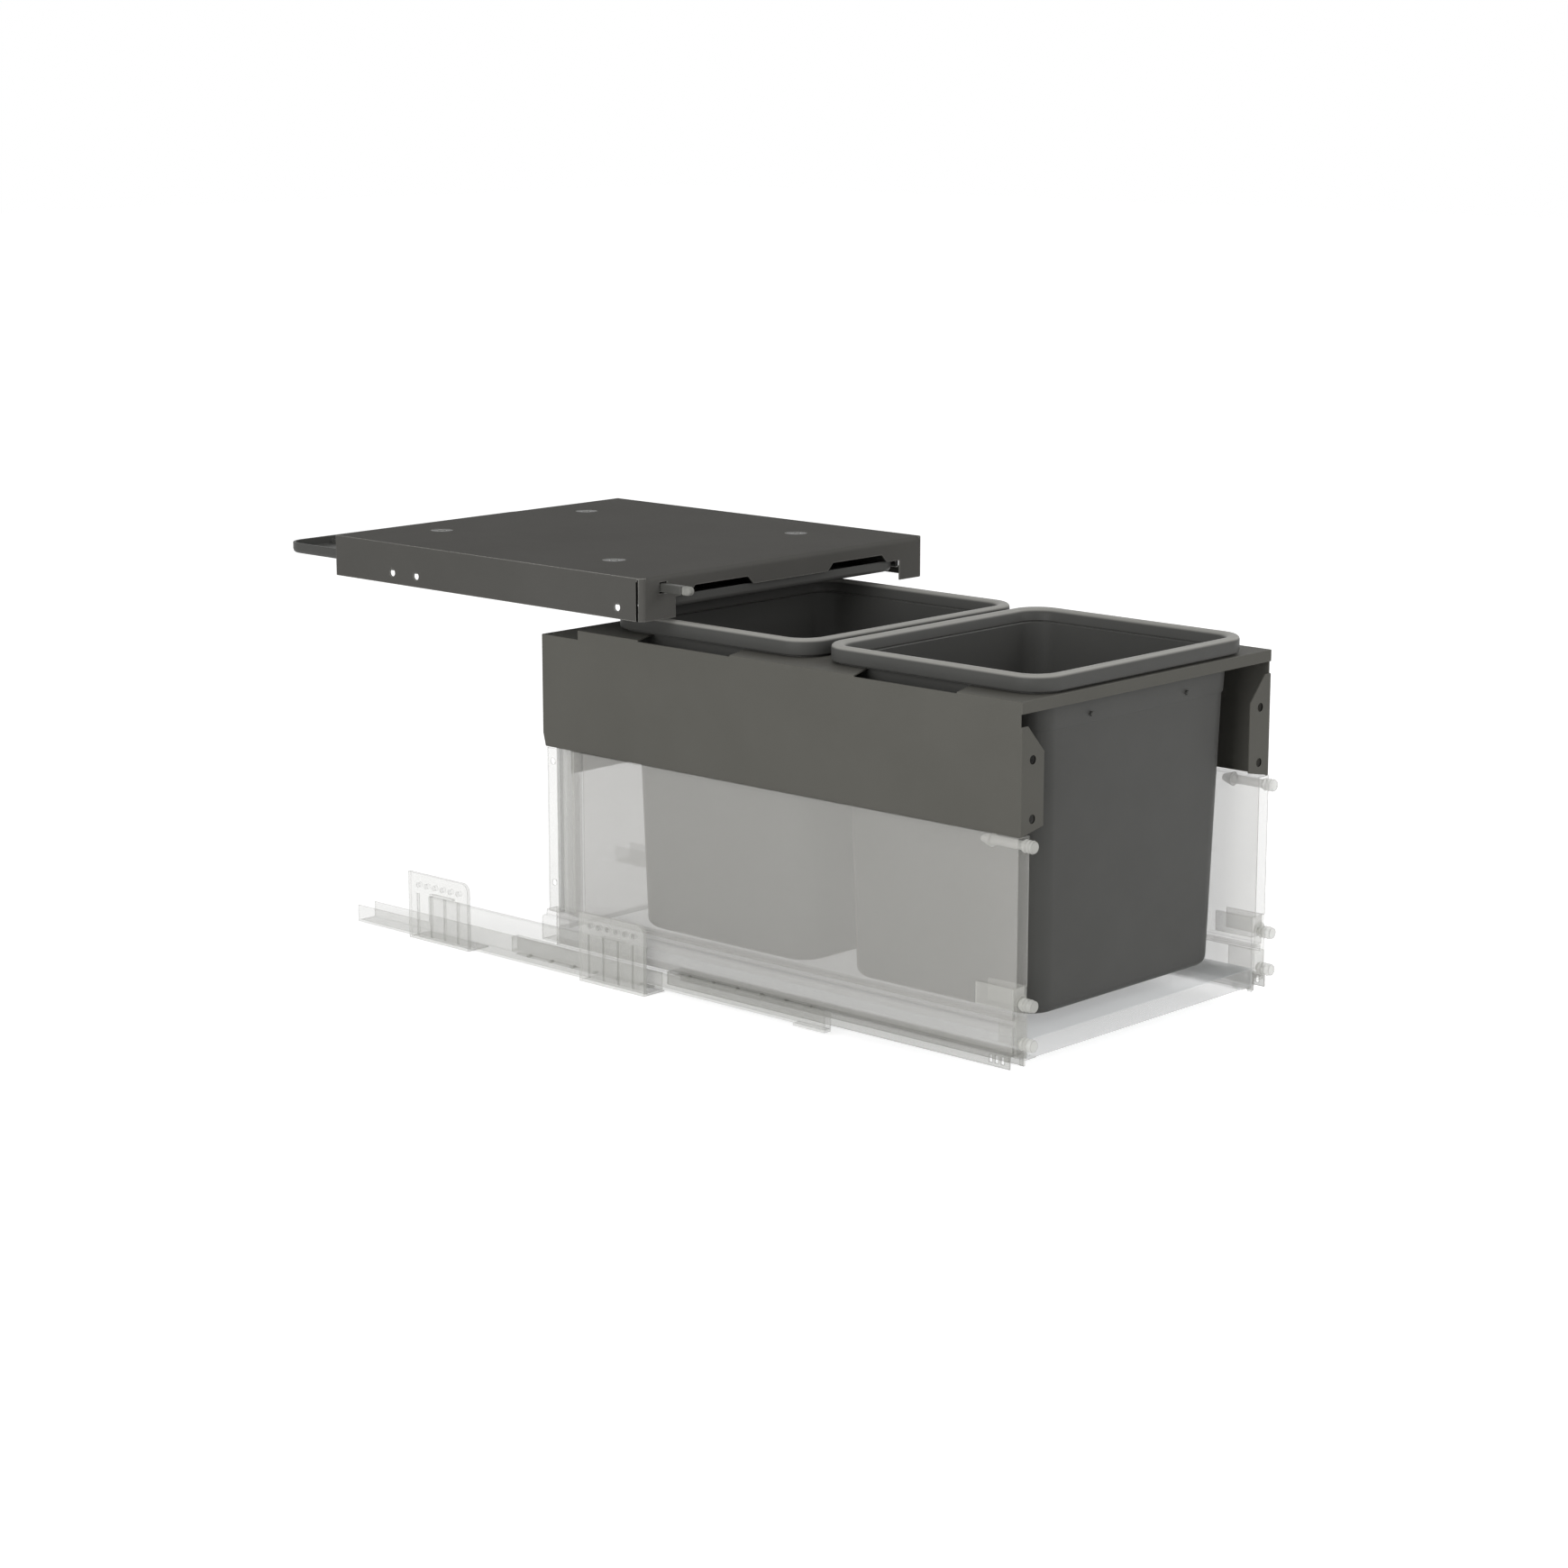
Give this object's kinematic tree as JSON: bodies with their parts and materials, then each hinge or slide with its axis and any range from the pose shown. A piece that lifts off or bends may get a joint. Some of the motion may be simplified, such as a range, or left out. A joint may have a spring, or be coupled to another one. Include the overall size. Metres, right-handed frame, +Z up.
{
  "type": "pull out trash cabinet",
  "caption": "Pull-out waste unit with lift-out bins in a frame on a runner drawer, under a lid plate that a push rod lowers onto them.",
  "frame": {"origin": "middle of the cabinet's front edge, at the level of the cabinet floor that the wall brackets stand on", "axes": "+X to the right as seen from the front, +Y into the cabinet, +Z up; the drawer stands pulled out towards -Y"},
  "size_m": [0.362, 0.9135, 0.3612],
  "materials": {
    "dark_sheet": "fine-texture powder coat, dark grey",
    "dark_lid_sheet": "fine-texture powder coat, dark grey",
    "dark_plastic": "moulded, fine grain, dark grey",
    "black_plastic": "moulded, smooth, near black",
    "tip_plastic": "moulded, smooth, light grey",
    "plain_steel": "bright zinc plate",
    "pale_sheet": "white powder coat, shown see-through",
    "pale_rail": "pale grey coat, shown see-through",
    "pale_board": "white faced board, shown see-through",
    "pale_plastic": "moulded, pale grey, shown see-through"
  },
  "bodies": {
    "cabinet_side": {"lid_housing": "dark_lid_sheet", "guide_bushes": "black_plastic", "slot_guide_left": "plain_steel", "slot_guide_right": "plain_steel", "cabinet_rail_left": "pale_rail", "cabinet_rail_right": "pale_rail", "wall_bracket_front_left": "pale_plastic", "wall_bracket_front_right": "pale_plastic", "wall_bracket_rear_left": "pale_plastic", "wall_bracket_rear_right": "pale_plastic"},
    "push_rod_unit": {"push_rod": "black_plastic", "rod_tip": "tip_plastic", "lift_cam_left": "plain_steel", "lift_cam_right": "plain_steel", "cross_bar": "plain_steel"},
    "lid_plate_unit": {"lid_plate": "dark_plastic", "guide_studs": "plain_steel", "cam_pins": "plain_steel", "lift_springs": "plain_steel"},
    "drawer": {"bin_frame": "dark_sheet", "front_bin": "dark_plastic", "rear_bin": "dark_plastic", "bottom_panel": "pale_board", "back_panel": "pale_board", "upper_front_fixings": "pale_plastic", "lower_front_fixings": "pale_plastic", "drawer_side_left": "pale_sheet", "drawer_side_right": "pale_sheet", "raised_panel_left": "pale_sheet", "raised_panel_right": "pale_sheet", "rear_post_left": "pale_sheet", "rear_post_right": "pale_sheet", "front_bracket_left": "pale_rail", "front_bracket_right": "pale_rail", "cover_cap_left": "pale_plastic", "cover_cap_right": "pale_plastic", "drawer_rail_left": "pale_rail", "drawer_rail_right": "pale_rail", "rail_catch_left": "pale_plastic", "rail_catch_right": "pale_plastic"},
    "mid_unit_left": {"mid_rail_left": "pale_rail", "mid_stop_left": "pale_plastic"},
    "lower_cage_unit_left": {"lower_cage_left": "pale_plastic", "lower_rollers_left": "plain_steel"},
    "upper_cage_unit_left": {"upper_cage_left": "pale_plastic", "upper_rollers_left": "plain_steel"},
    "mid_unit_right": {"mid_rail_right": "pale_rail", "mid_stop_right": "pale_plastic"},
    "lower_cage_unit_right": {"lower_cage_right": "pale_plastic", "lower_rollers_right": "plain_steel"},
    "upper_cage_unit_right": {"upper_cage_right": "pale_plastic", "upper_rollers_right": "plain_steel"}
  },
  "joints": [
    {"name": "drawer_slide", "type": "slide", "parent": "cabinet_side", "child": "drawer", "axis": [0, 1, 0], "range_m": [0, 0.398]},
    {"name": "push_rod_slide", "type": "slide", "parent": "cabinet_side", "child": "push_rod_unit", "axis": [0, 1, 0], "range_m": [0, 0.034], "stiffness_N_per_m": 300, "springref_m": -0.03},
    {"name": "lid_drop", "type": "slide", "parent": "cabinet_side", "child": "lid_plate_unit", "axis": [0, 0, -1], "range_m": [0, 0.011], "deforming": ["lift_springs"]},
    {"name": "mid_slide_left", "type": "slide", "parent": "cabinet_side", "child": "mid_unit_left", "axis": [0, 1, 0], "range_m": [0, 0.199]},
    {"name": "lower_cage_slide_left", "type": "slide", "parent": "cabinet_side", "child": "lower_cage_unit_left", "axis": [0, 1, 0], "range_m": [0, 0.0995]},
    {"name": "upper_cage_slide_left", "type": "slide", "parent": "cabinet_side", "child": "upper_cage_unit_left", "axis": [0, 1, 0], "range_m": [0, 0.2985]},
    {"name": "mid_slide_right", "type": "slide", "parent": "cabinet_side", "child": "mid_unit_right", "axis": [0, 1, 0], "range_m": [0, 0.199]},
    {"name": "lower_cage_slide_right", "type": "slide", "parent": "cabinet_side", "child": "lower_cage_unit_right", "axis": [0, 1, 0], "range_m": [0, 0.0995]},
    {"name": "upper_cage_slide_right", "type": "slide", "parent": "cabinet_side", "child": "upper_cage_unit_right", "axis": [0, 1, 0], "range_m": [0, 0.2985]}
  ],
  "couplings": [
    {"joint": "lid_drop", "follows": "push_rod_slide", "ratio": 0.32353},
    {"joint": "mid_slide_left", "follows": "drawer_slide", "ratio": 0.5},
    {"joint": "lower_cage_slide_left", "follows": "drawer_slide", "ratio": 0.25},
    {"joint": "upper_cage_slide_left", "follows": "drawer_slide", "ratio": 0.75},
    {"joint": "mid_slide_right", "follows": "drawer_slide", "ratio": 0.5},
    {"joint": "lower_cage_slide_right", "follows": "drawer_slide", "ratio": 0.25},
    {"joint": "upper_cage_slide_right", "follows": "drawer_slide", "ratio": 0.75}
  ]
}
